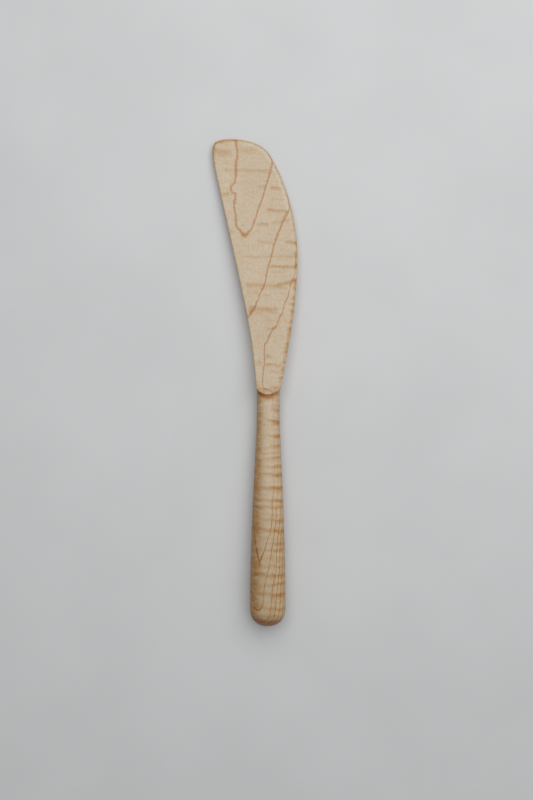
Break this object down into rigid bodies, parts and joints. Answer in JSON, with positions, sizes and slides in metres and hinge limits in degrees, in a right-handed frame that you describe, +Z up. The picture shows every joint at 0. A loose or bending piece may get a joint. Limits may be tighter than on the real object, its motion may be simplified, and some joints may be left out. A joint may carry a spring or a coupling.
{
  "type": "wooden spatula",
  "caption": "One-piece wooden spreading spatula: a wedge blade with a curved belly and rounded tip, stepped down to a swelling round handle.",
  "frame": {"origin": "middle of the object's box in plan, on the flat surface that the blade's lower face and the round end of the handle lie on", "axes": "+Y along the handle towards the blade's tip, +Z up from the surface it lies on, +X towards the blade's curved belly"},
  "size_m": [0.035, 0.2, 0.0149],
  "materials": {
    "maple": "pale curly maple, sanded smooth and oiled to a soft satin, with thin orange-brown growth lines and faint cross bands of curl"
  },
  "bodies": {
    "root": {"spatula": "maple"}
  },
  "joints": []
}
